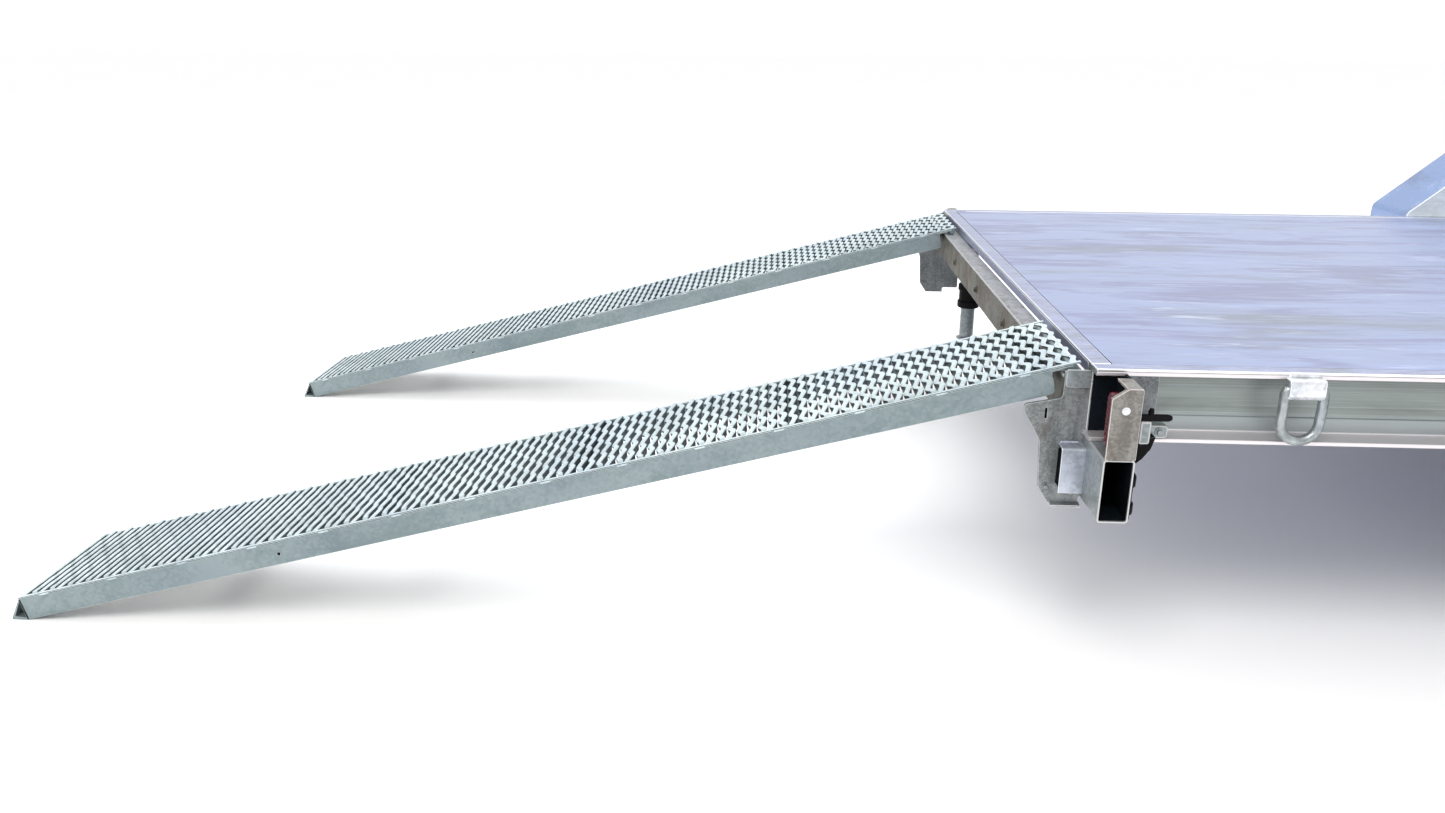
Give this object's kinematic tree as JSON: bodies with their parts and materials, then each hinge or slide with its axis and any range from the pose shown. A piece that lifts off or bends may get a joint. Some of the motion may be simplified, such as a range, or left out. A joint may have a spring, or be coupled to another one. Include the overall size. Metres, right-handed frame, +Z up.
{
  "type": "tandem-axle flat-deck car trailer",
  "caption": "Flat aluminium car trailer on tandem axles, parked on its nose jack with mesh loading ramps hooked at the rear.",
  "frame": {"origin": "on the ground, below the middle of the trailer's length with its ramps down", "axes": "+X forward to the coupler, +Y to the left, +Z up"},
  "size_m": [9.1602, 2.48, 1.05],
  "materials": {
    "deck_sheet": "mill sheet, smeared",
    "rail_aluminium": "extruded, dull",
    "fender_aluminium": "folded sheet",
    "galvanised": "hot-dip galvanised",
    "bright_zinc": "bright zinc",
    "weathered_zinc": "weathered galvanised",
    "black_steel": "black coated",
    "lamp_lens": "dark red lens",
    "tyre": "black rubber",
    "rim_silver": "silver painted steel"
  },
  "bodies": {
    "root": {"deck": "deck_sheet", "side_rail_right": "rail_aluminium", "side_rail_left": "rail_aluminium", "front_rail": "rail_aluminium", "rear_crossmember": "weathered_zinc", "crossmember_1": "rail_aluminium", "crossmember_2": "rail_aluminium", "crossmember_3": "rail_aluminium", "crossmember_4": "rail_aluminium", "crossmember_5": "rail_aluminium", "crossmember_6": "rail_aluminium", "crossmember_7": "rail_aluminium", "rear_gusset_right": "galvanised", "lamp_housing_right": "galvanised", "tail_lamp_right": "lamp_lens", "stand_clamp_right": "black_steel", "rear_gusset_left": "galvanised", "lamp_housing_left": "galvanised", "tail_lamp_left": "lamp_lens", "stand_clamp_left": "black_steel", "axle_rear": "galvanised", "axle_front": "galvanised", "fender_right": "fender_aluminium", "tie_down_right_1": "bright_zinc", "tie_down_right_2": "bright_zinc", "tie_down_right_3": "bright_zinc", "drawbar_right": "galvanised", "fender_left": "fender_aluminium", "tie_down_left_1": "bright_zinc", "tie_down_left_2": "bright_zinc", "tie_down_left_3": "bright_zinc", "drawbar_left": "galvanised", "coupler": "galvanised", "coupler_latch": "black_steel", "jack_tube": "galvanised", "jack_crank": "black_steel"},
    "ramp_right": {"ramp_frame_right": "galvanised", "ramp_tread_right": "galvanised"},
    "ramp_left": {"ramp_frame_left": "galvanised", "ramp_tread_left": "galvanised"},
    "wheel_rear_right": {"tyre_rear_right": "tyre", "rim_rear_right": "rim_silver"},
    "wheel_rear_left": {"tyre_rear_left": "tyre", "rim_rear_left": "rim_silver"},
    "wheel_front_right": {"tyre_front_right": "tyre", "rim_front_right": "rim_silver"},
    "wheel_front_left": {"tyre_front_left": "tyre", "rim_front_left": "rim_silver"},
    "stand_right": {"prop_stand_right": "galvanised"},
    "stand_left": {"prop_stand_left": "galvanised"},
    "jack": {"jack_leg": "galvanised"}
  },
  "joints": [
    {"name": "ramp_right_lift", "type": "hinge", "parent": "root", "child": "ramp_right", "pos_m": [-2.39594, -0.7815, 0.6045], "axis": [0, 1, 0], "range_deg": [0, 15]},
    {"name": "ramp_left_lift", "type": "hinge", "parent": "root", "child": "ramp_left", "pos_m": [-2.39594, 0.7815, 0.6045], "axis": [0, 1, 0], "range_deg": [0, 15]},
    {"name": "wheel_rear_right_spin", "type": "hinge", "parent": "root", "child": "wheel_rear_right", "pos_m": [-0.27194, -1.1225, 0.344], "axis": [0, 1, 0], "continuous": true},
    {"name": "wheel_rear_left_spin", "type": "hinge", "parent": "root", "child": "wheel_rear_left", "pos_m": [-0.27194, 1.1225, 0.344], "axis": [0, 1, 0], "continuous": true},
    {"name": "wheel_front_right_spin", "type": "hinge", "parent": "root", "child": "wheel_front_right", "pos_m": [0.59206, -1.1225, 0.344], "axis": [0, 1, 0], "continuous": true},
    {"name": "wheel_front_left_spin", "type": "hinge", "parent": "root", "child": "wheel_front_left", "pos_m": [0.59206, 1.1225, 0.344], "axis": [0, 1, 0], "continuous": true},
    {"name": "stand_right_drop", "type": "slide", "parent": "root", "child": "stand_right", "axis": [0, 0, -1], "range_m": [0, 0.28]},
    {"name": "stand_left_drop", "type": "slide", "parent": "root", "child": "stand_left", "axis": [0, 0, -1], "range_m": [0, 0.177]},
    {"name": "jack_raise", "type": "slide", "parent": "root", "child": "jack", "axis": [0, 0, 1], "range_m": [-0.1, 0.28]}
  ]
}
